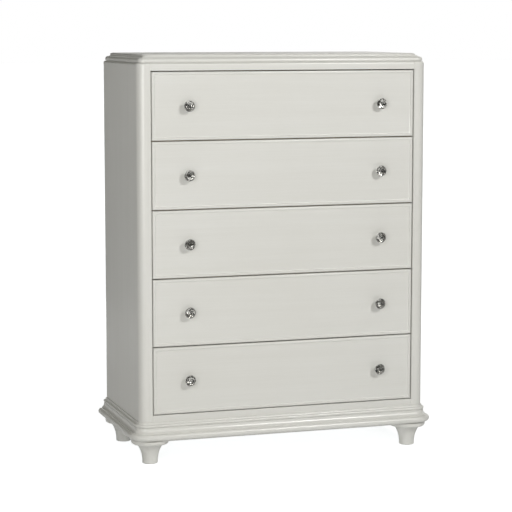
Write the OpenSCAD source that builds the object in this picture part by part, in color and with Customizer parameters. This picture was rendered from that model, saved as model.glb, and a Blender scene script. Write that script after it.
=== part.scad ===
// Tall chest of five drawers on turned feet, in millimetres.
// +Z is up, the drawers face -Y, and the origin is on the floor under the middle of the overall box.

/* [Case] */
// Width across the outer faces of the case sides
case_w = 914; // [760:1:1150]
// Depth of the case from the front face of the posts to the back
case_d = 422; // [360:1:560]
// Height of the top edge of the case above the floor
case_h = 1201; // [960:1:1450]
// Thickness of the side panels
side_t = 18; // [15:0.5:24]
// Width of a front post across its front face
post_w = 39.5; // [36:0.5:60]
// Depth of a front post along the outside of the case
post_side = 27; // [26:0.5:40]
// Depth of a front post inside the case
post_d = 50; // [44:1:70]
// Radius of the rounded outer corner of a post
corner_r = 25; // [12:0.5:26]
// Radius on the top edge of the case
top_round = 6.5; // [2:0.5:7]
// Width of the eased edge where a post meets the rails
eased = 1.2; // [0.5:0.1:2]
// Height of the top rail
top_rail_h = 23; // [16:0.5:50]
// Height of the bottom rail above the base board
bottom_rail_h = 56; // [44:0.5:90]
// Thickness of the top and bottom rails
rail_t = 22; // [18:0.5:28]
// Height of a divider rail between two drawers
divider_h = 20; // [12:1:26]
// Depth of a divider rail, front to back
divider_d = 60; // [30:1:90]
// Thickness of the back panel
back_t = 6; // [3:0.5:10]
// Width of the rabbet that holds the back panel in each side
rabbet_w = 9; // [5:0.5:12]
// Thickness of the base board that carries the case on its feet
base_board_t = 20; // [15:1:28]

/* [Top] */
// Height of the groove between the case and the sub-top
groove_h = 2; // [1:0.5:4]
// Setback of the groove from the case sides and front
groove_inset = 13; // [11:0.5:16]
// Setback of the sub-top's edge from the case sides and front
sub_top_inset = 5.5; // [5:0.5:9]
// How far in the rounding on the sub-top's edge reaches
sub_top_round_w = 10; // [6:0.5:11]
// Height of the rounding on the sub-top's edge
sub_top_round_h = 8.5; // [5:0.5:10]
// Height of the straight edge under that rounding
sub_top_edge = 4; // [1:0.5:6]
// Width of the step between that rounding and the cove above it
cove_step_w = 1.8; // [0.5:0.1:2]
// Height of that step
cove_step_h = 0.8; // [0.2:0.1:2]
// How far in the cove under the top board reaches
cove_w = 4.5; // [2:0.5:5]
// Height of that cove
cove_h = 3.4; // [2:0.2:6]
// How far the top board overhangs the cove
top_overhang = 0.5; // [0.1:0.1:2]
// Thickness of the top board
top_t = 6.3; // [5:0.1:20]
// How far in the rounding on the top board's edge reaches
top_board_round_w = 12; // [5:0.5:12.5]
// Plan radius of the sub-top's front corners
sub_top_corner = 19; // [18:0.5:24]
// Plan radius of the top board's front corners
top_corner = 24; // [13:0.5:30]

/* [Base] */
// Height of a foot, floor to base board
foot_h = 74; // [60:1:110]
// Radius of a foot's leg where it meets the floor
foot_floor_r = 23.5; // [18:0.5:30]
// Radius of a foot's neck under its pad
foot_neck_r = 40; // [30:0.5:42]
// Radius of the pad at the top of a foot
foot_pad_r = 57; // [56:0.5:59]
// Thickness of the pad
foot_pad_t = 14; // [10:0.5:20]
// Distance of a foot's centre in from the case side
foot_in_x = 39; // [36:0.5:60]
// Distance of a front foot's centre behind the front face
foot_in_front = 36; // [34:0.5:60]
// Distance of a rear foot's centre in front of the back
foot_in_back = 60; // [60:0.5:90]
// Radius of the dowel that holds a foot in the base board
dowel_r = 12; // [8:0.5:15]
// Length of that dowel
dowel_len = 16; // [10:0.5:18]
// Height of the base moulding
moulding_h = 57; // [57:0.5:64]

/* [Drawers] */
// Gap round each drawer front
gap = 3; // [2:0.25:4.5]
// Thickness of a drawer front
front_t = 20; // [18:0.5:24]
// Radius on the outer edge of a drawer front
front_round = 4.5; // [2:0.25:5.5]
// Width of the raised lip round a drawer front
lip_w = 8.5; // [7:0.5:14]
// Width of the sloping step inside the lip
lip_step_w = 3.5; // [2:0.5:8]
// Depth of the panel below the lip
lip_depth = 3; // [1.5:0.5:5]
// Thickness of a drawer side and back
box_t = 12; // [10:0.5:15]
// Height of a drawer side's lower edge above the lower edge of its front
box_lift = 22; // [18:0.5:28]
// Distance from the top of a drawer side up to the top edge of its front
box_drop = 40; // [16:1:60]
// Thickness of a drawer bottom
bottom_t = 6; // [4:0.5:8]
// Height of the drawer bottom above the lower edge of its sides
bottom_lift = 10; // [8:0.5:15]
// Depth of the groove that holds a drawer bottom
groove_d = 6; // [4:0.5:7]
// Depth of the housing that holds a drawer side in its front
housing_d = 8; // [5:0.5:10]
// Space between the back of a drawer and the back panel
rear_space = 26; // [10:1:50]

/* [Slides] */
// Space that a slide fills between the case and a drawer
slide_t = 12.7; // [12.5:0.1:14]
// Height of the case member of a slide
slide_h = 45; // [42:1:50]
// Thickness of the slide's sheet steel
slide_wall = 1.2; // [1:0.1:1.5]
// Gap between one slide member's flange and the next, filled by the ball race
race_gap = 2.2; // [1.5:0.1:2.4]
// Distance from the back of a drawer front to the front end of its slides
slide_start = 4; // [3:0.5:12]
// Distance from the back end of a slide to the back of the drawer
slide_end = 16; // [4:1:40]
// Height of the cleat behind a slide
cleat_h = 50; // [46:1:60]

/* [Knobs] */
// Distance of a knob in from the end of its drawer front
knob_inset = 110; // [40:1:220]
// Diameter of a knob's crystal
knob_d = 33; // [24:0.5:38]
// Distance from the drawer's lip to the tip of a knob
knob_out = 27; // [24:0.5:28]
// Height of the metal base, from the panel to the back of the crystal
knob_base_h = 10; // [8:0.5:12]
// Radius of the base's foot on the panel
knob_foot_r = 9; // [7:0.5:10]
// Radius of the base's neck
knob_neck_r = 5; // [4.5:0.5:6]
// Radius of the knob screw
screw_r = 2; // [1.5:0.25:2.5]

/* [Fit] */
// Clearance round a joined or seated wooden piece
wood_fit = 0.2; // [0.1:0.05:0.4]
// Clearance round a screw in the drawer front
screw_fit = 0.3; // [0.2:0.05:0.5]
// Clearance round a screw in its thread
thread_fit = 0.05; // [0.02:0.01:0.1]

/* [Hidden] */
$fn = 64;
drawer_count = 5;
DRAWER_PIECES = concat(
    ["front", "sides", "back", "bottom", "runners", "middle_slides"],
    ["knob_bases", "knob_crystals"]
);

paint = "#dddcd7";
bare_wood = "#cdb48c";
steel = "#b4b8bc";
chrome = "#cfd3d6";
crystal = "#e6edf2";

// A cutter reaches this far past the face it opens.
past = 1;
left = -1;
right = 1;

half_w = case_w / 2;
opening_x = half_w - post_w;
case_base = foot_h + base_board_t;
opening_bottom = case_base + bottom_rail_h;
opening_top = case_h - top_rail_h;
front_h = (opening_top - opening_bottom - (drawer_count + 1) * gap) / drawer_count;
front_x = opening_x - gap;
pitch = front_h + gap;

// The base moulding's outline: u is the distance out from the case, v the height under its top edge.
bead_r = 4.8;
bead_u = 6;
bead_v = -11;
cove_r = 16.8;
cove_u = 26;
cove_v = -17.5;
torus_r = 10;
torus_u = 18;
torus_v = -43.5;
moulding_foot_u = 14;
moulding_out = torus_u + torus_r;

// The overall box runs from the moulding's front to the back of the case.
front_y = (moulding_out - case_d) / 2;

box_h = front_h - box_lift - box_drop;
box_x = opening_x - slide_t;
box_y = front_t - housing_d;
box_end = case_d - back_t - rear_space;
bottom_z = box_lift + bottom_lift;
knob_x = front_x - knob_inset;

// Each slide member nests in the one before it: heights, and how far each one's flanges reach.
slide_y = front_t + slide_start;
slide_len = box_end - slide_end - slide_y;
slide_z = box_lift + box_h / 2;
middle_h = slide_h - 2 * (slide_wall + race_gap);
runner_h = middle_h - 2 * (slide_wall + race_gap);
web_step = 4;
web_gap = 2.4;
case_reach = slide_t - web_step;
middle_reach = slide_t - web_step - web_gap;
runner_reach = middle_reach;

cove_reach = sub_top_round_w + cove_step_w + cove_w;
sub_top_h = groove_h + sub_top_edge + sub_top_round_h + cove_step_h + cove_h;
top_inset = sub_top_inset + cove_reach - top_overhang;
top_z = case_h + sub_top_h;
top_board_ease = top_t / 7;

// Heights on a knob's axis, counted out from the drawer's lip.
knob_back = knob_base_h - lip_depth;
knob_girdle = knob_back + (knob_out - knob_back) * 0.45;
screw_grip = 6;
screw_head_r = 4.2;
screw_head_h = 2.4;

// Points on an arc about [cx, cy] from angle a to angle b.
function arc(cx, cy, r, a, b, steps = 8) =
    [for (i = [0:steps]) [cx + r * cos(a + (b - a) * i / steps), cy + r * sin(a + (b - a) * i / steps)]];

// Points up a quarter round from [0, v], reaching w in and h up.
function quarter_round(v, w, h, steps = 8) =
    [for (i = [0:steps]) [w * (cos(90 * i / steps) - 1), v + h * sin(90 * i / steps)]];

// Height of the lower edge of drawer n, counted from the top.
function drawer_z(n) = opening_top - n * pitch;

// A box given by its lowest and highest corners.
module block(low, high) {
    translate(low) cube(high - low);
}

// Puts y = 0 on the front face of the posts.
module in_case() {
    translate([0, front_y, 0]) children();
}

// Draws a right-hand piece on the side asked for.
module on_side(side) {
    mirror([side < 0 ? 1 : 0, 0, 0]) children();
}

// ---- An outline [u, v] carried round the front and sides: u points out of the case, v up. ----

module front_run(half, y) {
    translate([-half, y, 0]) rotate([90, 0, 90]) linear_extrude(2 * half) mirror([1, 0]) children();
}

module side_run(x, y) {
    translate([x, case_d, 0]) rotate([90, 0, 0]) linear_extrude(case_d - y) children();
}

// The turn from the front to the right side, from angle a to angle b, about a corner of radius r.
module corner_run(x, y, r, a, b) {
    translate([x, y, 0]) rotate([0, 0, a]) rotate_extrude(angle = b - a) translate([r, 0]) children();
}

// ---- Case ----

module top_edge_outline() {
    difference() {
        translate([-top_round, case_h - top_round]) square(top_round + past);
        translate([-top_round, case_h - top_round]) circle(top_round);
    }
}

// Rounds over the top edge of whatever reaches the outside of the case.
module top_edge_cutter() {
    corner_x = half_w - corner_r;
    front_run(corner_x, 0) top_edge_outline();
    for (side = [left, right])
        on_side(side) {
            corner_run(corner_x, corner_r, corner_r, -90, 0) top_edge_outline();
            translate([0, past, 0]) side_run(half_w, corner_r + past) top_edge_outline();
        }
}

module side_panel(side) {
    color(paint) in_case() on_side(side) difference() {
        block([half_w - side_t, post_side, case_base], [half_w, case_d, case_h]);
        block(
            [half_w - side_t - past, case_d - back_t, case_base - past],
            [half_w - side_t + rabbet_w, case_d + past, case_h + past]
        );
        top_edge_cutter();
    }
}

module post_outline() {
    difference() {
        union() {
            translate([opening_x, 0]) square([post_w, post_side]);
            translate([opening_x, 0]) square([post_w - side_t, post_d]);
        }
        translate([half_w - corner_r, 0]) difference() {
            translate([0, -past]) square(corner_r + past);
            translate([0, corner_r]) circle(corner_r);
        }
        translate([opening_x, 0])
            polygon([[-past, -past], [eased + past, -past], [-past, eased + past]]);
    }
}

module front_post(side) {
    color(paint) in_case() on_side(side) difference() {
        translate([0, 0, case_base]) linear_extrude(case_h - case_base) post_outline();
        top_edge_cutter();
    }
}

module top_rail() {
    color(paint) in_case() difference() {
        block([-opening_x, 0, opening_top], [opening_x, rail_t, case_h]);
        top_edge_cutter();
    }
}

module bottom_rail() {
    color(paint) in_case() block([-opening_x, 0, case_base], [opening_x, rail_t, opening_bottom]);
}

module divider_rails() {
    color(bare_wood) in_case() for (n = [1:drawer_count - 1]) {
        middle = drawer_z(n) - gap / 2;
        block(
            [-opening_x, front_t + gap, middle - divider_h / 2],
            [opening_x, front_t + gap + divider_d, middle + divider_h / 2]
        );
    }
}

module back_panel() {
    edge_x = half_w - side_t + rabbet_w - wood_fit;
    color(bare_wood) in_case() block([-edge_x, case_d - back_t, case_base], [edge_x, case_d, case_h]);
}

// ---- Top: two boards, each stepped in from the one below ----

// A board whose edge has the outline of its children; the children reach from -corner to 0.
module edged_board(inset, corner, z, height) {
    corner_x = half_w - inset - corner;
    translate([-corner_x, inset + corner, z]) cube([2 * corner_x, case_d - inset - corner, height]);
    front_run(corner_x, inset) children();
    for (side = [left, right])
        on_side(side) {
            corner_run(corner_x, inset + corner, corner, -90, 0) children();
            side_run(half_w - inset, inset + corner) children();
        }
}

module sub_top_outline() {
    groove_u = sub_top_inset - groove_inset;
    edge_z = case_h + groove_h;
    step_u = -sub_top_round_w - cove_step_w;
    polygon(concat(
        [[-sub_top_corner, case_h], [groove_u, case_h], [groove_u, edge_z], [0, edge_z]],
        quarter_round(edge_z + sub_top_edge, sub_top_round_w, sub_top_round_h),
        [[step_u, top_z - cove_h - cove_step_h]],
        [for (i = [0:8]) [step_u - cove_w * sin(90 * i / 8), top_z - cove_h * cos(90 * i / 8)]],
        [[-sub_top_corner, top_z]]
    ));
}

module sub_top() {
    color(paint) in_case()
        edged_board(sub_top_inset, sub_top_corner, case_h, sub_top_h) sub_top_outline();
}

module top_board_outline() {
    polygon(concat(
        [[-top_corner, top_z]],
        arc(-top_board_ease, top_z + top_board_ease, top_board_ease, -90, 0, 4),
        quarter_round(top_z + 2 * top_board_ease, top_board_round_w, top_t - 2 * top_board_ease),
        [[-top_corner, top_z + top_t]]
    ));
}

module top_board() {
    color(paint) in_case() edged_board(top_inset, top_corner, top_z, top_t) top_board_outline();
}

// ---- Base ----

module base_board() {
    corner_x = half_w - corner_r;
    color(paint) in_case() difference() {
        translate([0, 0, foot_h]) linear_extrude(base_board_t) {
            translate([-corner_x, 0]) square([2 * corner_x, case_d]);
            translate([-half_w, corner_r]) square([case_w, case_d - corner_r]);
            for (side = [left, right]) translate([side * corner_x, corner_r]) circle(corner_r);
        }
        for (side = [left, right])
            for (y = [foot_in_front, case_d - foot_in_back])
                translate([side * (half_w - foot_in_x), y, foot_h - past])
                    cylinder(h = dowel_len + wood_fit + past, r = dowel_r + wood_fit);
    }
}

// A bead over a cove over a torus, on a straight back.
module moulding_outline() {
    translate([0, foot_h + moulding_h]) polygon(concat(
        [[0, -moulding_h], [0, 0], [3, 0], [3.6, -3.5], [bead_u, -6.2]],
        arc(bead_u, bead_v, bead_r, 90, -80),
        [[cove_u - cove_r, cove_v + 1]],
        arc(cove_u, cove_v, cove_r, 180, 235),
        arc(torus_u, torus_v, torus_r, 100, -80, 14),
        [[moulding_foot_u + 1.5, torus_v - torus_r - 1], [moulding_foot_u, -moulding_h]]
    ));
}

module base_moulding_front() {
    corner_x = half_w - corner_r;
    color(paint) in_case() {
        front_run(corner_x, 0) moulding_outline();
        for (side = [left, right])
            on_side(side) corner_run(corner_x, corner_r, corner_r, -90, -45) moulding_outline();
    }
}

module base_moulding_side(side) {
    color(paint) in_case() on_side(side) {
        corner_run(half_w - corner_r, corner_r, corner_r, -45, 0) moulding_outline();
        side_run(half_w, corner_r) moulding_outline();
    }
}

// A turned foot: a leg that flares up to its neck, a round pad, and a dowel on top.
module foot(side, y) {
    floor_round = 3.5;
    pad_round = 8;
    neck_z = foot_h - foot_pad_t;
    leg = [foot_neck_r - foot_floor_r, neck_z - floor_round];
    color(paint) in_case() translate([side * (half_w - foot_in_x), y, 0]) rotate_extrude() polygon(concat(
        [[0, 0]],
        arc(foot_floor_r - floor_round, floor_round, floor_round, -90, 0, 5),
        [for (t = [1/12:1/12:1.01]) [foot_floor_r + leg[0] * pow(t, 2.3), floor_round + leg[1] * t]],
        [[foot_neck_r + 4, neck_z]],
        arc(foot_pad_r - pad_round, neck_z + pad_round, pad_round, -70, 0, 6),
        [[foot_pad_r, foot_h], [dowel_r, foot_h], [dowel_r, foot_h + dowel_len], [0, foot_h + dowel_len]]
    ));
}

// ---- Slides: a case member, a middle member and a runner on the drawer ----

module slide_cleats() {
    color(bare_wood) in_case() for (side = [left, right]) for (n = [1:drawer_count]) {
        z = drawer_z(n) + slide_z;
        on_side(side) block(
            [opening_x, post_d, z - cleat_h / 2],
            [half_w - side_t, case_d - back_t - gap, z + cleat_h / 2]
        );
    }
}

// A channel of folded steel: its web stands at x, and its flanges reach towards the drawer.
module channel(x, reach, height, wall, y, z, length) {
    difference() {
        block([x - reach, y, z - height / 2], [x, y + length, z + height / 2]);
        block(
            [x - reach - past, y - past, z - height / 2 + wall],
            [x - wall, y + length + past, z + height / 2 - wall]
        );
    }
}

module case_slides() {
    color(steel) in_case() for (side = [left, right]) for (n = [1:drawer_count])
        on_side(side)
            channel(opening_x, case_reach, slide_h, slide_wall, slide_y, drawer_z(n) + slide_z, slide_len);
}

module middle_slides(n) {
    color(steel) in_case() for (side = [left, right])
        on_side(side) channel(
            opening_x - web_step, middle_reach, middle_h, slide_wall,
            slide_y, drawer_z(n) + slide_z, slide_len
        );
}

// The runner is screwed to the drawer side, so its web is on the drawer and its flanges point outward.
module runners(n) {
    color(steel) in_case() for (side = [left, right])
        on_side(side) translate([2 * box_x, 0, 0]) mirror([1, 0, 0])
            channel(box_x, runner_reach, runner_h, slide_wall, slide_y, drawer_z(n) + slide_z, slide_len);
}

// ---- Drawers ----

// The outline of a front seen from its end: square at the back, rounded at the lip.
module front_outline(half) {
    polygon(concat(
        [[half, front_t], [-half, front_t]],
        arc(front_round - half, front_round, front_round, 180, 270),
        arc(half - front_round, front_round, front_round, 270, 360)
    ));
}

// The outline of the recess inside the lip: a hollow slope down to the flat panel.
module recess_outline(half) {
    lip = half - lip_w;
    panel = lip - lip_step_w;
    slope = [for (i = [0:5]) [panel + lip_step_w * pow(i / 5, 2), lip_depth * (1 - i / 5)]];
    polygon(concat(
        [[lip, -past], [-lip, -past]],
        [for (i = [5:-1:0]) [-slope[i][0], slope[i][1]]],
        slope
    ));
}

// Two outlines run across each other, so that the corners between them are mitred.
module mitred(width, height) {
    intersection() {
        linear_extrude(height) children(0);
        translate([-width / 2, 0, height / 2]) rotate([90, 0, 90]) linear_extrude(width)
            mirror([1, -1]) children(1);
    }
}

module drawer_front(n) {
    width = 2 * front_x;
    color(paint) in_case() translate([0, 0, drawer_z(n)]) difference() {
        mitred(width, front_h) {
            front_outline(width / 2);
            front_outline(front_h / 2);
        }
        mitred(width, front_h) {
            recess_outline(width / 2);
            recess_outline(front_h / 2);
        }
        for (side = [left, right]) {
            on_side(side) block(
                [box_x - box_t - wood_fit, box_y - wood_fit, box_lift - wood_fit],
                [box_x + wood_fit, front_t + past, box_lift + box_h + wood_fit]
            );
            translate([side * knob_x, -past, front_h / 2]) rotate([-90, 0, 0])
                cylinder(h = front_t + 2 * past, r = screw_r + screw_fit);
        }
        block(
            [box_t - box_x, front_t - groove_d, bottom_z - wood_fit],
            [box_x - box_t, front_t + past, bottom_z + bottom_t + wood_fit]
        );
    }
}

module drawer_sides(n) {
    color(bare_wood) in_case() translate([0, 0, drawer_z(n)]) for (side = [left, right])
        on_side(side) difference() {
            block([box_x - box_t, box_y, box_lift], [box_x, box_end, box_lift + box_h]);
            block(
                [box_x - box_t - past, box_y - past, bottom_z - wood_fit],
                [box_x - box_t + groove_d, box_end + past, bottom_z + bottom_t + wood_fit]
            );
        }
}

module drawer_back(n) {
    color(bare_wood) in_case() translate([0, 0, drawer_z(n)]) block(
        [box_t - box_x, box_end - box_t, bottom_z + bottom_t],
        [box_x - box_t, box_end, box_lift + box_h]
    );
}

module drawer_bottom(n) {
    edge_x = box_x - box_t + groove_d - wood_fit;
    tongue_x = box_x - box_t - wood_fit;
    color(bare_wood) in_case() translate([0, 0, drawer_z(n)]) {
        block([-edge_x, front_t, bottom_z], [edge_x, box_end, bottom_z + bottom_t]);
        block(
            [-tongue_x, front_t - groove_d + wood_fit, bottom_z],
            [tongue_x, front_t + past, bottom_z + bottom_t]
        );
    }
}

// ---- Knobs: a metal base held by a screw from inside, and a cut crystal ----

module at_knobs(n) {
    in_case() for (side = [left, right])
        translate([side * knob_x, 0, drawer_z(n) + front_h / 2]) rotate([90, 0, 0]) children();
}

// A base on the panel and, from behind the front, the screw that holds it.
module knob_bases(n) {
    cup_r = knob_neck_r + 3.5;
    color(chrome) at_knobs(n) {
        difference() {
            rotate_extrude() polygon([
                [0, -lip_depth],
                [knob_foot_r, -lip_depth],
                [knob_foot_r, 1.5 - lip_depth],
                [knob_foot_r - 1.5, 2.5 - lip_depth],
                [knob_neck_r, 3.5 - lip_depth],
                [knob_neck_r, knob_back - 3],
                [cup_r, knob_back - 0.8],
                [cup_r, knob_back],
                [0, knob_back]
            ]);
            translate([0, 0, -lip_depth - past]) cylinder(h = screw_grip + past, r = screw_r + thread_fit);
        }
        translate([0, 0, -front_t]) cylinder(h = front_t - lip_depth + screw_grip - past, r = screw_r);
        translate([0, 0, -front_t - screw_head_h]) cylinder(h = screw_head_h, r = screw_head_r);
    }
}

// The crystal: flat facets round a girdle, a small table in front and a smaller seat behind.
module knob_crystals(n) {
    color(crystal) at_knobs(n) hull() {
        crystal_slice(0, knob_back, 0.29, 0.4);
        crystal_slice(0.5, knob_girdle, 0.5, 2);
        crystal_slice(0, (knob_girdle + knob_out) / 2 + 2, 0.41, 0.4);
        crystal_slice(0.5, knob_out - 0.4, 0.24, 0.4);
    }
}

// An eight-sided slice of the crystal, turned by part of a side; its radius is a share of the diameter.
module crystal_slice(turn, height, share, thickness) {
    rotate(turn * 45) translate([0, 0, height]) cylinder(h = thickness, r = knob_d * share, $fn = 8);
}

side_panel(left);  // left_side_panel
side_panel(right);  // right_side_panel
front_post(left);  // left_front_post
front_post(right);  // right_front_post
top_rail();
bottom_rail();
divider_rails();
back_panel();
sub_top();
top_board();
base_board();
base_moulding_front();
base_moulding_side(left);  // base_moulding_left
base_moulding_side(right);  // base_moulding_right
foot(left, foot_in_front);  // front_left_foot
foot(right, foot_in_front);  // front_right_foot
foot(left, case_d - foot_in_back);  // rear_left_foot
foot(right, case_d - foot_in_back);  // rear_right_foot
slide_cleats();
case_slides();
for (n = [1:drawer_count]) {
    drawer_front(n);
    drawer_sides(n);
    drawer_back(n);
    drawer_bottom(n);
    runners(n);
    middle_slides(n);
    knob_bases(n);
    knob_crystals(n);
}
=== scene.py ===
"""The looks of a tall chest of five drawers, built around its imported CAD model.

Metres, +Z up, and the drawer fronts face -Y.
"""

import math

import bmesh
import bpy
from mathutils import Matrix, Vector


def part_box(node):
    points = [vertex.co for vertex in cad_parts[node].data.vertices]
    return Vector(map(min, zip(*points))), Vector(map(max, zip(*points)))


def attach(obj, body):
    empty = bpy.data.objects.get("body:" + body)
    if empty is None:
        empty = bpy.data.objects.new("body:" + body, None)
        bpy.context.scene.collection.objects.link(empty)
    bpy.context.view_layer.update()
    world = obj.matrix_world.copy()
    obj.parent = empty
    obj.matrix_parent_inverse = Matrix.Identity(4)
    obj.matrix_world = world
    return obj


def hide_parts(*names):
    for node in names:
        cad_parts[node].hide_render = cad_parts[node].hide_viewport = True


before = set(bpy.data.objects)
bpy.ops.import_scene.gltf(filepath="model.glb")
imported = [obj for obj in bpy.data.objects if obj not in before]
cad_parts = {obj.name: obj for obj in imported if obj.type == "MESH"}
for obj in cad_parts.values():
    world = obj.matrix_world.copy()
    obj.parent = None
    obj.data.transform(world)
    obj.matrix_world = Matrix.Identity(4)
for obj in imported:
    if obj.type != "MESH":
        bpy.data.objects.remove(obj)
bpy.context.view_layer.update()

MM = 0.001
DRAWERS = range(1, 6)
SIDES = {"left": -1, "right": 1}

# ---- Places, read from the frame ----

post_low, post_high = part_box("right_front_post")
panel_low, panel_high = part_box("right_side_panel")
rail_low, rail_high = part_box("bottom_rail")
top_rail_low, top_rail_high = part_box("top_rail")
sub_low, sub_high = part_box("sub_top")
top_low, top_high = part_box("top_board")
moulding_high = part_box("base_moulding_front")[1]
back_low, back_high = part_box("back_panel")

HALF_W = post_high.x
FRONT_Y = post_low.y
BACK_Y = panel_high.y
CASE_BASE = post_low.z
CASE_TOP = post_high.z
OPENING_X = post_low.x  # the right-hand edge of the drawers' opening
SIDE_T = panel_high.x - panel_low.x
SEAM_Y = panel_low.y  # where a side panel meets its post

# ---- Sizes that the frame doesn't hold ----

CORNER_R = 25 * MM  # the outer corner of the posts, which the base moulding follows
TOP_ROUND = 6.5 * MM  # the top edge of the case, under the sub-top
RABBET_W = 9 * MM  # cut into each side panel for the back panel
JOINT = 1.2 * MM  # the easing where the rails meet the posts
PANEL_SUNK = 3.0  # how far a drawer's flat panel lies behind its lip, in millimetres
GIRDLE = 0.47  # the share of a crystal's depth that lies behind its girdle


# ---- Small tools for meshes ----

def arc(centre, radius, start, end, steps):
    """Points on an arc in two dimensions, angles in degrees."""
    turns = [math.radians(start + (end - start) * i / steps) for i in range(steps + 1)]
    return [(centre[0] + radius * math.cos(a), centre[1] + radius * math.sin(a)) for a in turns]


def make_piece(name, points, faces, material, body, stands_for, sharp=35, arris=0.0):
    """A mesh object riding on a body, which takes the place of the CAD nodes that it stands for.

    Edges over sharp degrees stay sharp, and with sharp at 0 every face is flat. An arris over 0 is a
    small bevel on the square edges.
    """
    mesh = bpy.data.meshes.new(name)
    mesh.from_pydata([tuple(p) for p in points], [], faces)
    shape = bmesh.new()
    shape.from_mesh(mesh)
    bmesh.ops.recalc_face_normals(shape, faces=shape.faces)
    shape.to_mesh(mesh)
    shape.free()
    if sharp > 0:
        mesh.shade_smooth()
        mesh.set_sharp_from_angle(angle=math.radians(sharp))
    mesh.materials.append(material)
    piece = bpy.data.objects.new(name, mesh)
    bpy.context.scene.collection.objects.link(piece)
    if arris > 0:
        bevel = piece.modifiers.new("arris", "BEVEL")
        bevel.width = arris
        bevel.segments = 2
        bevel.limit_method = "ANGLE"
        bevel.angle_limit = math.radians(50)
    if sharp > 0:
        normals = piece.modifiers.new("even_normals", "WEIGHTED_NORMAL")
        normals.keep_sharp = True
    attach(piece, body)
    if stands_for:
        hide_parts(*stands_for)
    return piece


def skin(rings, closed=True, loop=False):
    """The points and faces that join rings of equal length.

    closed joins each ring's ends, and loop joins the last ring to the first.
    """
    size = len(rings[0])
    spans = size if closed else size - 1
    faces = []
    for k in range(len(rings) if loop else len(rings) - 1):
        here, there = k * size, ((k + 1) % len(rings)) * size
        for i in range(spans):
            j = (i + 1) % size
            faces.append((here + i, here + j, there + j, there + i))
    return [p for ring in rings for p in ring], faces


def mirrored(points, side):
    """The right-hand points as they are, or their mirror image for the left."""
    return [(side * p[0], p[1], p[2]) for p in points]


def capped(points, faces, size):
    """Closes both ends of a skin whose rings have this size."""
    faces.append(tuple(range(size)))
    faces.append(tuple(range(len(points) - size, len(points))))
    return points, faces


def column(outline, low_z, high_z, rounding, steps=8):
    """An upright of the plan outline [(x, y, nx, ny)].

    Its top edge rounds inwards along each point's normal.
    """
    levels = [(0.0, low_z), (0.0, high_z - rounding)]
    for i in range(1, steps + 1):
        a = math.pi / 2 * i / steps
        levels.append((rounding * (1 - math.cos(a)), high_z - rounding + rounding * math.sin(a)))
    rings = [[(x - nx * d, y - ny * d, z) for x, y, nx, ny in outline] for d, z in levels]
    return capped(*skin(rings), len(outline))


def plan_path(half, front, back, radius, steps=12):
    """Stations ((x, y), (nx, ny)) round a plan with two rounded front corners.

    They run from the back of the left side, round the front, to the back of the right side.
    """
    stations = [((-half, back), (-1.0, 0.0))]
    for side, start in ((-1, 180), (1, 270)):
        for i in range(steps + 1):
            a = math.radians(start + 90 * i / steps)
            n = (math.cos(a), math.sin(a))
            centre = (side * (half - radius), front + radius)
            stations.append(((centre[0] + n[0] * radius, centre[1] + n[1] * radius), n))
    stations.append(((half, back), (1.0, 0.0)))
    return stations


def run_outline(stations, outline):
    """One ring of points for each station: outline is [(out, z)]."""
    return [[(b[0] + n[0] * u, b[1] + n[1] * u, z) for u, z in outline] for b, n in stations]


def moulding(stations, outline):
    """A closed outline run along the stations, with flat ends."""
    return capped(*skin(run_outline(stations, outline)), len(outline))


def plate(stations, outline):
    """A board whose edge has the open outline [(out, z)], from its underside up to its top."""
    rings = run_outline(stations, outline)
    points, faces = skin(rings, closed=False)
    size = len(outline)
    count = len(rings)
    faces.append(tuple(k * size + size - 1 for k in range(count)))
    faces.append(tuple(k * size for k in range(count)))
    last = (count - 1) * size
    faces.append(tuple(range(size)) + tuple(last + i for i in reversed(range(size))))
    return points, faces


def lathe(outline, centre, axis, steps=64):
    """The outline [(radius, along)] turned about an axis through centre.

    The axis "z" points up, and the axis "y" points out of the front.
    """
    rings = []
    for k in range(steps):
        a = 2 * math.pi * k / steps
        c, s = math.cos(a), math.sin(a)
        if axis == "z":
            rings.append([(centre[0] + r * c, centre[1] + r * s, centre[2] + h) for r, h in outline])
        else:
            rings.append([(centre[0] + r * c, centre[1] - h, centre[2] + r * s) for r, h in outline])
    points, faces = skin(rings, closed=False, loop=True)
    size = len(outline)
    faces.append(tuple(k * size for k in range(steps)))
    faces.append(tuple(k * size + size - 1 for k in range(steps)))
    return points, faces


def board(low, high):
    """A plain board between two corners, to be given an arris."""
    xs, ys, zs = zip(low, high)
    points = [(x, y, z) for z in zs for y in ys for x in xs]
    faces = [(0, 2, 3, 1), (4, 5, 7, 6), (0, 1, 5, 4), (1, 3, 7, 5), (3, 2, 6, 7), (2, 0, 4, 6)]
    return points, faces


# ---- Materials ----

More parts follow.
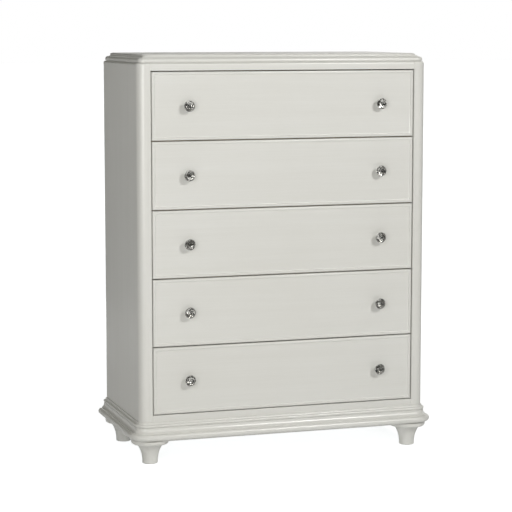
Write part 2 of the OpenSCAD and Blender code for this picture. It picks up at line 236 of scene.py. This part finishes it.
class Graph:
    """A node tree, written one node at a time."""

    MIX_FACTOR, MIX_A, MIX_B, MIX_RESULT = 0, 6, 7, 2  # a Mix node's colour sockets

    def __init__(self, owner):
        owner.use_nodes = True
        self.owner = owner
        self.tree = owner.node_tree

    def node(self, kind):
        """The first node of a kind."""
        return next(n for n in self.tree.nodes if n.type == kind)

    def add(self, kind, inputs=None, **settings):
        """A new node; an input's value is a number, a colour or another node's output."""
        node = self.tree.nodes.new(kind)
        for key, value in settings.items():
            setattr(node, key, value)
        for key, value in (inputs or {}).items():
            self.put(node.inputs[key], value)
        return node

    def put(self, socket, value):
        """Links another node's output to the socket, or sets its constant."""
        if isinstance(value, bpy.types.NodeSocket):
            self.tree.links.new(value, socket)
        else:
            socket.default_value = value

    def set(self, **values):
        """Sets the shader's sockets; an underscore stands for a space."""
        shader = self.node("BSDF_PRINCIPLED")
        for key, value in values.items():
            self.put(shader.inputs[key.replace("_", " ")], value)

    def place(self, scale):
        """The object's own coordinates, in metres, stretched by scale along X, Y and Z."""
        where = self.add("ShaderNodeTexCoord").outputs["Object"]
        return self.add("ShaderNodeMapping", {"Vector": where, "Scale": scale}).outputs["Vector"]

    def noise(self, scale_xyz, scale=1.0, detail=3.0, roughness=0.5, distortion=0.0):
        """Noise over the object's own coordinates, stretched by scale_xyz."""
        return self.add("ShaderNodeTexNoise", {
            "Vector": self.place(scale_xyz),
            "Scale": scale,
            "Detail": detail,
            "Roughness": roughness,
            "Distortion": distortion,
        }).outputs["Fac"]

    def span(self, value, low, high, from_low=0.25, from_high=0.75):
        """Carries value from from_low..from_high, which is noise's usual spread, to low..high."""
        return self.add("ShaderNodeMapRange", {
            "Value": value,
            "From Min": from_low,
            "From Max": from_high,
            "To Min": low,
            "To Max": high,
        }).outputs["Result"]

    def math(self, operation, a, b):
        """One operation on two values."""
        node = self.add("ShaderNodeMath", operation=operation)
        self.put(node.inputs[0], a)
        self.put(node.inputs[1], b)
        return node.outputs[0]

    def mix(self, factor, a, b):
        """Two colours mixed, each three numbers or another node's output."""
        node = self.add("ShaderNodeMix", data_type="RGBA")
        self.put(node.inputs[self.MIX_FACTOR], factor)
        for index, colour in ((self.MIX_A, a), (self.MIX_B, b)):
            constant = not isinstance(colour, bpy.types.NodeSocket)
            self.put(node.inputs[index], (*colour, 1.0) if constant else colour)
        return node.outputs[self.MIX_RESULT]

    def bump(self, *layers):
        """Bump layers (height, strength, distance in metres), one over another, on the shader."""
        normal = None
        for height, strength, distance in layers:
            inputs = {"Height": height, "Strength": strength, "Distance": distance}
            node = self.add("ShaderNodeBump", inputs)
            if normal is not None:
                self.put(node.inputs["Normal"], normal)
            normal = node.outputs["Normal"]
        self.set(Normal=normal)


def grain_scale(axis, across, along):
    """Fine across the grain and long along it; axis is the grain's direction."""
    return tuple(along if a == axis else across for a in "xyz")


def painted_wood(name, axis):
    """Sprayed off-white lacquer over wood: a clear satin coat, with the grain just showing through."""
    g = Graph(bpy.data.materials.new(name))
    cloud = g.noise((1, 1, 1), scale=2.3, detail=2)
    grain = g.noise(grain_scale(axis, 190, 5), detail=5, roughness=0.6, distortion=0.35)
    streak = g.noise(grain_scale(axis, 30, 0.9), detail=3)
    peel = g.noise((1, 1, 1), scale=620, detail=2)
    tone = g.mix(g.span(cloud, 0, 1), (0.762, 0.759, 0.726), (0.797, 0.798, 0.774))
    tone = g.mix(g.span(streak, 0, 0.5), tone, (0.732, 0.727, 0.692))
    tone = g.mix(g.span(grain, 0.0, 0.15), tone, (0.62, 0.61, 0.56))
    g.set(Base_Color=tone, Roughness=g.span(grain, 0.30, 0.40), Coat_Weight=0.5, Coat_Roughness=0.2)
    g.bump((grain, 0.30, 0.00025), (peel, 0.12, 0.00010))
    return g.owner


def bare_wood(name, axis, light, dark):
    """Clear-finished wood with growth bands and fine pores; axis is the grain's direction."""
    g = Graph(bpy.data.materials.new(name))
    band_count, band_half = 11.0, 0.5
    growth = g.noise(grain_scale(axis, 9, 0.55), detail=1.5, distortion=0.5)
    bands = g.math("PINGPONG", g.math("MULTIPLY", growth, band_count), band_half)
    pores = g.noise(grain_scale(axis, 900, 14), detail=3, roughness=0.7)
    figure = g.noise(grain_scale(axis, 9, 0.8), detail=2)
    tone = g.mix(g.span(bands, 0, 0.8, 0, band_half), light, dark)
    tone = g.mix(g.span(figure, 0, 0.4), tone, tuple(c * 0.8 for c in dark))
    tone = g.mix(g.span(pores, 0, 0.35, 0.5, 0.75), tone, tuple(c * 0.5 for c in dark))
    g.set(Base_Color=tone, Roughness=g.span(pores, 0.50, 0.64))
    g.bump((pores, 0.3, 0.0002), (bands, 0.1, 0.0002))
    return g.owner


def zinc_steel(name):
    """Bright zinc plate on rolled steel, with drawing lines along its length."""
    g = Graph(bpy.data.materials.new(name))
    lines = g.noise((900, 6, 900), detail=3)
    bloom = g.noise((1, 1, 1), scale=70, detail=3)
    tone = g.mix(g.span(bloom, 0, 1), (0.55, 0.57, 0.60), (0.68, 0.69, 0.71))
    g.set(Base_Color=tone, Metallic=1.0, Roughness=g.span(lines, 0.26, 0.42))
    g.bump((lines, 0.15, 0.0001))
    return g.owner


def polished_metal(name):
    """Polished nickel with faint handling marks."""
    g = Graph(bpy.data.materials.new(name))
    marks = g.noise((1, 1, 1), scale=480, detail=3)
    smears = g.noise((1, 1, 1), scale=90, detail=2)
    tone = g.mix(g.span(smears, 0, 1), (0.70, 0.69, 0.67), (0.80, 0.80, 0.79))
    g.set(Base_Color=tone, Metallic=1.0, Roughness=g.span(marks, 0.06, 0.14))
    return g.owner


def cut_crystal(name):
    """Clear crystal with a trace of a smear on its polish."""
    g = Graph(bpy.data.materials.new(name))
    smears = g.noise((1, 1, 1), scale=160, detail=2)
    g.set(Base_Color=(0.985, 0.985, 0.975, 1.0), Roughness=g.span(smears, 0.0, 0.03))
    g.set(Transmission_Weight=1.0, IOR=1.54)
    return g.owner


def silvering(name):
    """The bright foil on the back of a cut crystal, faintly crazed, with spots of painted dark reflection:
    near-black, they stand for the dark room seen in the facets.
    """
    g = Graph(bpy.data.materials.new(name))
    crazing = g.noise((1, 1, 1), scale=900, detail=3)
    painted_dark_reflections = g.noise((1, 1, 1), scale=210, detail=2)
    tone = g.mix(g.span(crazing, 0, 1), (0.84, 0.84, 0.82), (0.95, 0.95, 0.93))
    # painted dark reflection: near-black spots stand for the dark room that the facets reflect
    tone = g.mix(g.span(painted_dark_reflections, 0, 0.95, 0.42, 0.49), tone, (0.06, 0.057, 0.05))
    g.set(Base_Color=tone, Metallic=1.0, Roughness=g.span(crazing, 0.01, 0.04))
    return g.owner


def hardboard(name):
    """Brown hardboard: pressed fibre with a smooth face."""
    g = Graph(bpy.data.materials.new(name))
    fibre = g.noise((1, 1, 1), scale=850, detail=4, roughness=0.7)
    cloud = g.noise((1, 1, 1), scale=9, detail=3)
    fleck = g.noise((1, 1, 1), scale=170, detail=4, roughness=0.75)
    tone = g.mix(g.span(fibre, 0, 1), (0.27, 0.17, 0.09), (0.42, 0.29, 0.17))
    tone = g.mix(g.span(cloud, 0, 0.45), tone, (0.23, 0.145, 0.08))
    tone = g.mix(g.span(fleck, 0, 0.7, 0.56, 0.70), tone, (0.12, 0.07, 0.035))
    g.set(Base_Color=tone, Roughness=g.span(fibre, 0.52, 0.70))
    g.bump((fibre, 0.25, 0.0002))
    return g.owner


PAINT_UPRIGHT = painted_wood("paint_upright", "z")
PAINT_LEVEL = painted_wood("paint_level", "x")
PAINT_DEEP = painted_wood("paint_deep", "y")
MAPLE_DEEP = bare_wood("maple_deep", "y", (0.66, 0.49, 0.30), (0.52, 0.36, 0.20))
MAPLE_LEVEL = bare_wood("maple_level", "x", (0.64, 0.47, 0.29), (0.50, 0.34, 0.19))
PLY_LEVEL = bare_wood("ply_level", "x", (0.72, 0.57, 0.38), (0.62, 0.46, 0.28))
STEEL = zinc_steel("zinc_steel")
NICKEL = polished_metal("polished_nickel")
CRYSTAL = cut_crystal("cut_crystal")
SILVERING = silvering("silvering")
HARDBOARD = hardboard("hardboard")


# ---- Case ----

def post_outline():
    """The right-hand post in plan, counter-clockwise, with the outward normal of each outside point."""
    inner_x = HALF_W - SIDE_T
    outline = [(OPENING_X, FRONT_Y + JOINT, 0, 0), (OPENING_X + JOINT, FRONT_Y, 0, -1)]
    corner = (HALF_W - CORNER_R, FRONT_Y + CORNER_R)
    steps = 24
    for i, (x, y) in enumerate(arc(corner, CORNER_R, -90, 0, steps)):
        a = math.radians(-90 + 90 * i / steps)
        outline.append((x, y, math.cos(a), math.sin(a)))
    outline += [
        (HALF_W, SEAM_Y, 1, 0),
        (inner_x, SEAM_Y, 0, 0),
        (inner_x, post_high.y, 0, 0),
        (OPENING_X, post_high.y, 0, 0),
    ]
    return outline


def side_outline():
    """The right-hand side panel in plan, with its rabbet for the back panel."""
    inner_x = HALF_W - SIDE_T
    rabbet_y = back_low.y
    return [
        (HALF_W, SEAM_Y, 1, 0),
        (HALF_W, BACK_Y, 1, 0),
        (inner_x + RABBET_W, BACK_Y, 0, 0),
        (inner_x + RABBET_W, rabbet_y, 0, 0),
        (inner_x, rabbet_y, 0, 0),
        (inner_x, SEAM_Y, 0, 0),
    ]


def rail_outline(back_y):
    """A rail in plan, with its front edges eased where it meets the posts."""
    return [
        (-OPENING_X, back_y, 0, 0),
        (-OPENING_X, FRONT_Y + JOINT, 0, -1),
        (JOINT - OPENING_X, FRONT_Y, 0, -1),
        (OPENING_X - JOINT, FRONT_Y, 0, -1),
        (OPENING_X, FRONT_Y + JOINT, 0, -1),
        (OPENING_X, back_y, 0, 0),
    ]


def build_case():
    """The posts, the side panels, and the rails over and under the drawers."""
    for word, side in SIDES.items():
        for part, outline in (("front_post", post_outline()), ("side_panel", side_outline())):
            node = f"{word}_{part}"
            points, faces = column(outline, CASE_BASE, CASE_TOP, TOP_ROUND)
            points = mirrored(points, side)
            make_piece(node + "_painted", points, faces, PAINT_UPRIGHT, "case", [node])
    points, faces = column(rail_outline(top_rail_high.y), top_rail_low.z, top_rail_high.z, TOP_ROUND)
    make_piece("top_rail_painted", points, faces, PAINT_LEVEL, "case", ["top_rail"])
    raised, soft = 1 * MM, 0.8 * MM  # a lighter gap under the bottom drawer, as in the photo
    outline = rail_outline(rail_high.y)
    points, faces = column(outline, rail_low.z, rail_high.z + raised, soft)
    make_piece("bottom_rail_painted", points, faces, PAINT_LEVEL, "case", ["bottom_rail"])


def build_back():
    """The back panel, and the nails round its edge, whose heads reach the CAD panel's back face."""
    proud, soft = 0.75, 0.4 * MM
    face_y = back_high.y - proud * MM
    points, faces = board(back_low, (back_high.x, face_y, back_high.z))
    stands_for = ["back_panel"]
    make_piece("back_panel_board", points, faces, HARDBOARD, "case", stands_for, arris=soft)

    outline = [(0.01, 0), (2.6, 0), (2.6, -0.25), (2.2, -0.55), (1.4, -0.7), (0.01, -proud)]
    outline = [(r * MM, h * MM) for r, h in outline]
    inset, pitch, steps = 11 * MM, 95 * MM, 16
    half, low_z, high_z = back_high.x - inset, back_low.z + inset, back_high.z - inset
    across, up = round(2 * half / pitch), round((high_z - low_z) / pitch)
    spots = [(-half + 2 * half * i / across, z) for i in range(across + 1) for z in (low_z, high_z)]
    spots += [(x, low_z + (high_z - low_z) * i / up) for i in range(1, up) for x in (-half, half)]
    points, faces = [], []
    for x, z in spots:
        nail, skins = lathe(outline, (x, face_y, z), "y", steps)
        faces += [tuple(i + len(points) for i in face) for face in skins]
        points += nail
    make_piece("back_panel_nails", points, faces, STEEL, "case", ())


def quarter_round(z, width, height, steps=12):
    """A quarter ellipse in section, from (0, z) in and up, as [(out, z)]."""
    turns = [math.pi / 2 * i / steps for i in range(steps + 1)]
    return [(width * (math.cos(a) - 1), z + height * math.sin(a)) for a in turns]


def sub_top_outline(z):
    """A groove, a straight edge, a rounding, a step and a cove, upwards from z, as [(out, z)]."""
    groove_in, groove_h, edge, soft = 3 * MM, 2 * MM, 4 * MM, 0.6 * MM
    round_w, round_h = 10 * MM, 8.5 * MM
    step_w, step_h, cove_w, cove_h = 1.8 * MM, 0.8 * MM, 4.5 * MM, 3.4 * MM
    steps = 10
    edge_z = z + groove_h
    shoulder = edge_z + edge + round_h
    step = -round_w - step_w
    outline = [(-groove_in, z), (-groove_in, edge_z), (-soft, edge_z), (0, edge_z + soft)]
    outline += quarter_round(edge_z + edge, round_w, round_h)
    outline += [(step, shoulder)]
    for i in range(steps + 1):
        a = math.pi / 2 * i / steps
        outline.append((step - cove_w * math.sin(a), shoulder + step_h + cove_h * (1 - math.cos(a))))
    outline.append((step - cove_w - MM, sub_high.z))
    return outline


def build_top():
    """The sub-top with its groove, rounding and cove, and the top board over it."""
    sub_corner_r, top_corner_r = 19 * MM, 24 * MM
    inset = HALF_W - sub_high.x
    stations = plan_path(HALF_W - inset, FRONT_Y + inset, BACK_Y, sub_corner_r)
    points, faces = plate(stations, sub_top_outline(sub_low.z))
    make_piece("sub_top_painted", points, faces, PAINT_LEVEL, "case", ["sub_top"])

    inset = HALF_W - top_high.x
    low, high = top_low.z, top_high.z
    ease, round_w = (high - low) / 7, 12 * MM
    outline = [(-round_w - MM, low)]
    outline += arc((-ease, low + ease), ease, -90, 0, 4)
    outline += quarter_round(low + 2 * ease, round_w, high - low - 2 * ease)
    outline += [(-round_w - MM, high)]
    stations = plan_path(HALF_W - inset, FRONT_Y + inset, BACK_Y, top_corner_r)
    points, faces = plate(stations, outline)
    make_piece("top_board_painted", points, faces, PAINT_LEVEL, "case", ["top_board"])


def moulding_outline():
    """A bead, a cove and a torus, as [(out, z)] down the face and back up behind."""
    top = moulding_high.z
    face = [(0, 0), (2.6, 0), (3.2, -0.5), (3.6, -3.2), (4.2, -4.6), (5.2, -5.9)]
    face += arc((6, -11), 4.8, 82, -78, 12)
    face += [(8.4, -16.2), (9.2, -16.6)]
    face += arc((26, -17.5), 16.8, 180, 234, 10)
    face += [(16.1, -31.8), (16.3, -33.4)]
    face += arc((18, -43.5), 10, 100, -80, 20)
    face += [(18.6, -54.0), (15.6, -54.6), (14.4, -55.6), (14, -57)]
    face += [(0, -57)]
    return [(u * MM, top + v * MM) for u, v in face]


def build_moulding():
    """The base moulding's three lengths, mitred in the middle of the rounded corners."""
    steps = 24
    stations = plan_path(HALF_W, FRONT_Y, BACK_Y, CORNER_R, steps)
    mitre = steps // 2
    left = stations[:mitre + 2]
    front = stations[mitre + 1:len(stations) - mitre - 1]
    right = stations[len(stations) - mitre - 2:]
    runs = {"left": (left, PAINT_DEEP), "front": (front, PAINT_LEVEL), "right": (right, PAINT_DEEP)}
    for word, (part, material) in runs.items():
        points, faces = moulding(part, moulding_outline())
        node = f"base_moulding_{word}"
        make_piece(node + "_painted", points, faces, material, "case", [node])


def foot_outline(high):
    """A turned leg that flares to its neck, and the round pad above it."""
    floor_r, neck_r, pad_r, pad_t = 23.5 * MM, 40 * MM, 57 * MM, 14 * MM
    soft, pad_round = 3.5 * MM, 8 * MM
    axis_r, steps, flare = 0.001 * MM, 24, 2.3
    neck = high - pad_t
    outline = [(axis_r, 0)] + arc((floor_r - soft, soft), soft, -90, 0, 7)
    for i in range(1, steps + 1):
        t = i / steps
        outline.append((floor_r + (neck_r - floor_r) * t ** flare, soft + (neck - soft) * t))
    outline += [(neck_r + 1.0 * MM, neck + 0.6 * MM), (neck_r + 3 * MM, neck + 0.9 * MM)]
    outline += arc((pad_r - pad_round, neck + pad_round + 0.6 * MM), pad_round, -66, 0, 8)
    outline += [(pad_r, high), (axis_r, high)]
    return outline


def build_feet():
    """Four turned feet, each in its CAD node's place."""
    outline = foot_outline(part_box("base_board")[0].z)
    for end in ("front", "rear"):
        for word in SIDES:
            node = f"{end}_{word}_foot"
            low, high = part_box(node)
            centre = ((low.x + high.x) / 2, (low.y + high.y) / 2, low.z)
            points, faces = lathe(outline, centre, "z", 96)
            name = node + "_turned"
            make_piece(name, points, faces, PAINT_UPRIGHT, "case", [node], sharp=40)


# ---- Drawers ----

def front_mesh(low, high):
    """A drawer front: rounded outside, a lip, a cove and a flat panel; each ring is a rectangle."""
    lip_w, soft = 7.5 * MM, 4.5 * MM
    # The cove's points are millimetres in from the lip and down to the panel.
    cove = [(0.3, 0.15), (0.6, 0.55), (1.0, 1.35), (1.6, 2.1), (2.4, 2.6), (3.3, 2.88), (4.4, PANEL_SUNK)]
    profile = [(0, high.y)]
    profile += [(x, low.y + y) for x, y in arc((soft, soft), soft, 180, 270, 8)]
    profile += [(lip_w, low.y)]
    profile += [(lip_w + w * MM, low.y + d * MM) for w, d in cove]
    rings = []
    for inset, y in profile:
        x0, x1, z0, z1 = low.x + inset, high.x - inset, low.z + inset, high.z - inset
        rings.append([(x0, y, z0), (x1, y, z0), (x1, y, z1), (x0, y, z1)])
    points, faces = skin(rings)
    faces.append((3, 2, 1, 0))
    last = len(points) - 4
    faces.append((last, last + 1, last + 2, last + 3))
    return points, faces


def ring_points(radius, height, count, turn, centre):
    """A ring of points about a knob's axis; height is counted out from the drawer's lip."""
    points = []
    for k in range(count):
        a = 2 * math.pi * (k + turn) / count
        c, s = math.cos(a), math.sin(a)
        points.append((centre[0] + radius * c, centre[1] - height, centre[2] + radius * s))
    return points


def crystal_mesh(centre, radius, seat, tip):
    """A cut crystal: table, stars, kites and girdle facets in front, and the same cut shallower behind."""
    sides, half_turn, band = 8, 0.5, 0.8 * MM
    table_r, crown_r, pavilion_r, base_r = radius * 0.50, radius * 0.80, radius * 0.80, radius * 0.54
    girdle = seat + (tip - seat) * GIRDLE
    crown_at = tip - (tip - girdle) * 0.42
    pavilion_at = seat + (girdle - seat) * 0.45
    rings = [
        ring_points(table_r, tip, sides, 0, centre),
        ring_points(crown_r, crown_at, sides, half_turn, centre),
        ring_points(radius, girdle + band, 2 * sides, 0, centre),
        ring_points(radius, girdle - band, 2 * sides, 0, centre),
        ring_points(pavilion_r, pavilion_at, sides, half_turn, centre),
        ring_points(base_r, seat, sides, 0, centre),
    ]
    points = [p for ring in rings for p in ring]
    t, c, u, v, p, b = (sum(len(ring) for ring in rings[:i]) for i in range(len(rings)))
    faces = [tuple(t + k for k in range(sides)), tuple(b + k for k in reversed(range(sides)))]
    for k in range(sides):
        n, before = (k + 1) % sides, (k - 1) % sides
        mid, after = 2 * k + 1, (2 * k + 2) % (2 * sides)
        faces.append((t + n, t + k, c + k))
        faces.append((t + k, c + before, u + 2 * k, c + k))
        faces.append((c + k, u + 2 * k, u + mid))
        faces.append((c + k, u + mid, u + after))
        faces.append((u + mid, u + 2 * k, v + 2 * k, v + mid))
        faces.append((u + after, u + mid, v + mid, v + after))
        faces.append((b + k, b + n, p + k))
        faces.append((b + k, p + k, v + 2 * k, p + before))
        faces.append((p + k, v + mid, v + 2 * k))
        faces.append((p + k, v + after, v + mid))
    return points, faces


def silver_back(piece, girdle_y):
    """Silvers every facet that lies behind the girdle and faces backwards."""
    backwards, silver_index = 0.1, len(piece.data.materials)
    piece.data.materials.append(SILVERING)
    for facet in piece.data.polygons:
        if facet.center.y > girdle_y and facet.normal.y > backwards:
            facet.material_index = silver_index


def knob_base_outline(panel, seat):
    """A stepped foot, a waisted neck and a cup under the crystal, as [(radius, out from the lip)]."""
    foot = [(0.01, 0.0), (9.0, 0.0), (9.0, 0.9), (8.6, 1.5), (7.4, 1.9), (7.1, 2.4)]
    neck = [(6.0, 2.9), (5.2, 3.8), (5.0, 4.8), (5.4, 6.0), (6.4, 7.2), (7.8, 8.2)]
    cup = [(8.9, -0.9), (9.3, -0.3), (9.3, 0.6), (8.7, 0.9), (8.4, -0.1), (0.01, -0.1)]
    points = [(r, panel + h) for r, h in foot + neck] + [(r, seat + h) for r, h in cup]
    return [(r * MM, h * MM) for r, h in points]


def screw_outline(back):
    """The pan head of a knob's screw, with its recess, as [(radius, out from the lip)].

    It sits on the inner face of the drawer front, which is at back.
    """
    head = [(0.01, 0), (4.2, 0), (4.2, -0.6), (3.9, -1.5), (3.2, -2.15), (2.2, -2.4)]
    recess = [(1.5, -2.4), (1.1, -1.4), (0.01, -1.2)]
    return [(r * MM, back + h * MM) for r, h in head + recess]


def build_knobs(number):
    """A drawer's two knobs; the left one replaces the CAD nodes, which hold the parts of both."""
    body = f"drawer_{number}"
    base_low, base_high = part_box(f"{body}_knob_bases")
    head_low, head_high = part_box(f"{body}_knob_crystals")
    front_low, front_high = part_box(f"{body}_front")
    lip_y = front_low.y
    foot_r, crystal_r = 9 * MM, 16.5 * MM
    seat, tip = (lip_y - head_high.y) / MM, (lip_y - head_low.y) / MM
    girdle = seat + (tip - seat) * GIRDLE
    stands = {"left": ([f"{body}_knob_bases"], [f"{body}_knob_crystals"]), "right": ((), ())}
    for word, side in SIDES.items():
        x = side * (base_high.x - foot_r)
        centre = (x, lip_y, (base_low.z + base_high.z) / 2)
        bases, crystals = stands[word]
        points, faces = lathe(knob_base_outline(-PANEL_SUNK, seat), centre, "y", 40)
        make_piece(f"{body}_knob_base_{word}", points, faces, NICKEL, body, bases)
        points, faces = lathe(screw_outline(lip_y - front_high.y), centre, "y", 24)
        make_piece(f"{body}_knob_screw_{word}", points, faces, STEEL, body, ())
        points, faces = crystal_mesh(centre, crystal_r, seat * MM, tip * MM)
        name = f"{body}_knob_crystal_{word}"
        piece = make_piece(name, points, faces, CRYSTAL, body, crystals, sharp=0)
        silver_back(piece, lip_y - girdle * MM)


def build_drawer(number):
    """A drawer's painted front and its knobs; dress_cad sees to the box behind them."""
    body = f"drawer_{number}"
    points, faces = front_mesh(*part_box(f"{body}_front"))
    make_piece(f"{body}_front_painted", points, faces, PAINT_LEVEL, body, [f"{body}_front"])
    build_knobs(number)


def dress(node, material):
    """Gives a CAD node its material."""
    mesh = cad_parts[node].data
    mesh.materials.clear()
    mesh.materials.append(material)


def dress_cad():
    """The plain boards and the slides keep their CAD meshes, and get their materials here."""
    dress("base_board", PAINT_LEVEL)
    dress("divider_rails", MAPLE_LEVEL)
    dress("slide_cleats", MAPLE_DEEP)
    dress("case_slides", STEEL)
    for number in DRAWERS:
        dress(f"drawer_{number}_sides", MAPLE_DEEP)
        dress(f"drawer_{number}_back", MAPLE_LEVEL)
        dress(f"drawer_{number}_bottom", PLY_LEVEL)
        dress(f"drawer_{number}_runners", STEEL)
        dress(f"drawer_{number}_middle_slides", STEEL)


# ---- Studio ----

KEY_POWER = 78  # in watts, as are the other two
FILL_POWER = 37
BACK_POWER = 20
WALL_LEFT = (0.08, 0.075, 0.055)
WALL_RIGHT = (0.06, 0.055, 0.05)
WALL_GAP = (0.01, 0.01, 0.01)
CEILING = (0.05, 0.05, 0.05)
SKYLIGHT = (0.50, 0.49, 0.44)
GLINT = (2.7, 2.67, 2.58)  # the bright bands that make the cut crystals sparkle
BETWEEN_GLINTS = (0.005, 0.005, 0.005)
GLOSS_SHARE = 0.4  # how much of the glints a reflection meets
FLOOR_GLOW = 0.16


def area_light(name, spot, aim, size, power, colour=(1.0, 1.0, 1.0)):
    """A rectangular light at spot that points at aim."""
    light = bpy.data.lights.new(name, "AREA")
    light.shape = "RECTANGLE"
    light.size, light.size_y = size
    light.energy = power
    light.color = colour
    lamp = bpy.data.objects.new(name, light)
    lamp.location = spot
    lamp.rotation_euler = (Vector(aim) - Vector(spot)).to_track_quat("-Z", "Y").to_euler()
    bpy.context.scene.collection.objects.link(lamp)
    return lamp


def build_floor():
    """A plain pale floor that, to the camera, fades into the white behind the chest."""
    reach, near, far = 60.0, 0.8, 5.0
    near_glow, far_glow = 0.64, 0.86
    mesh = bpy.data.meshes.new("studio_floor")
    corners = [(-reach, -reach, 0), (reach, -reach, 0), (reach, reach, 0), (-reach, reach, 0)]
    mesh.from_pydata(corners, [], [(0, 1, 2, 3)])
    floor = bpy.data.objects.new("studio_floor", mesh)
    bpy.context.scene.collection.objects.link(floor)
    g = Graph(bpy.data.materials.new("studio_floor"))
    soft = g.noise((1, 1, 1), scale=1.5, detail=2)
    where = g.add("ShaderNodeTexCoord").outputs["Object"]
    away = g.add("ShaderNodeVectorMath", {0: where}, operation="LENGTH").outputs["Value"]
    seen = g.add("ShaderNodeLightPath").outputs["Is Camera Ray"]
    fade = g.span(away, near_glow, far_glow, near, far)
    glow = g.math("ADD", g.math("MULTIPLY", fade, seen), FLOOR_GLOW)
    g.set(Base_Color=g.mix(g.span(soft, 0, 1), (0.70, 0.70, 0.70), (0.72, 0.72, 0.72)), Roughness=0.9)
    g.set(Emission_Color=(0.97, 0.99, 1.0, 1.0), Emission_Strength=glow)
    mesh.materials.append(g.owner)


def build_world():
    """White to the camera, and to the chest a studio of dim walls, a dim ceiling and a skylight.

    Light that has passed through a crystal meets bright bands between dark ones instead, and a
    reflection meets a share of them.
    """
    world = bpy.data.worlds.new("studio")
    bpy.context.scene.world = world
    g = Graph(world)
    lit = g.node("BACKGROUND")
    towards = g.add("ShaderNodeTexCoord").outputs["Generated"]
    split = g.add("ShaderNodeSeparateXYZ", {"Vector": towards})
    path = g.add("ShaderNodeLightPath").outputs
    stripes = {"bands_direction": "DIAGONAL"}
    gaps = g.add("ShaderNodeTexWave", {"Vector": towards, "Scale": 0.9}, **stripes).outputs["Fac"]
    walls = g.mix(g.span(split.outputs["X"], 0, 1, -0.2, 0.8), WALL_LEFT, WALL_RIGHT)
    walls = g.mix(g.span(gaps, 0, 1, 0.40, 0.52), WALL_GAP, walls)
    room = g.mix(g.span(split.outputs["Z"], 0, 1, 0.30, 0.60), walls, CEILING)
    room = g.mix(g.span(split.outputs["Z"], 0, 1, 0.84, 0.90), room, SKYLIGHT)
    bands = g.add("ShaderNodeTexWave", {"Vector": towards, "Scale": 0.62}, **stripes).outputs["Fac"]
    glints = g.mix(g.span(bands, 0, 1, 0.71, 0.76), BETWEEN_GLINTS, GLINT)
    mirrored_share = g.math("MULTIPLY", path["Is Glossy Ray"], GLOSS_SHARE)
    polish = g.math("MAXIMUM", path["Is Transmission Ray"], mirrored_share)
    g.put(lit.inputs["Color"], g.mix(polish, room, glints))
    seen = g.add("ShaderNodeBackground", {"Color": (1.0, 1.0, 1.0, 1.0)})
    mix = g.add("ShaderNodeMixShader", {0: path["Is Camera Ray"], 1: lit.outputs[0], 2: seen.outputs[0]})
    g.put(g.node("OUTPUT_WORLD").inputs["Surface"], mix.outputs[0])


def build_camera():
    """A long lens, to the left of the front and a little above the top, looking slightly down."""
    bearing, dip, distance = math.radians(18.17), math.radians(7.003), 5.610
    aim = Vector((-0.0934, FRONT_Y, 0.6204))
    forward = Vector((math.sin(bearing) * math.cos(dip), math.cos(bearing) * math.cos(dip), -math.sin(dip)))
    data = bpy.data.cameras.new("camera")
    data.lens = 130.9
    data.sensor_width = 36.0
    camera = bpy.data.objects.new("camera", data)
    camera.location = aim - forward * distance
    camera.rotation_euler = forward.to_track_quat("-Z", "Y").to_euler()
    bpy.context.scene.collection.objects.link(camera)
    bpy.context.scene.camera = camera


def build_lights():
    """A soft key from the upper right of the front, a wide fill from the left, and a light behind."""
    target = Vector((0.0, FRONT_Y, 0.70))
    towards_key, key_distance = Vector((0.371, -0.790, 0.490)), 4.5
    key_spot = target + key_distance * towards_key
    area_light("key", key_spot, target, (0.7, 0.7), KEY_POWER, (1.0, 0.992, 0.965))
    area_light("fill", (-1.8, -2.8, 1.3), target, (1.7, 1.6), FILL_POWER, (1.0, 0.99, 0.96))
    back = area_light("back", (0.1, 3.2, 0.9), (0.0, BACK_Y, 0.8), (0.8, 0.5), BACK_POWER)
    back.visible_glossy = False


def main():
    bpy.context.scene.view_settings.view_transform = "Standard"
    build_camera()
    build_case()
    build_back()
    build_top()
    build_moulding()
    build_feet()
    for number in DRAWERS:
        build_drawer(number)
    dress_cad()
    build_floor()
    build_world()
    build_lights()


main()
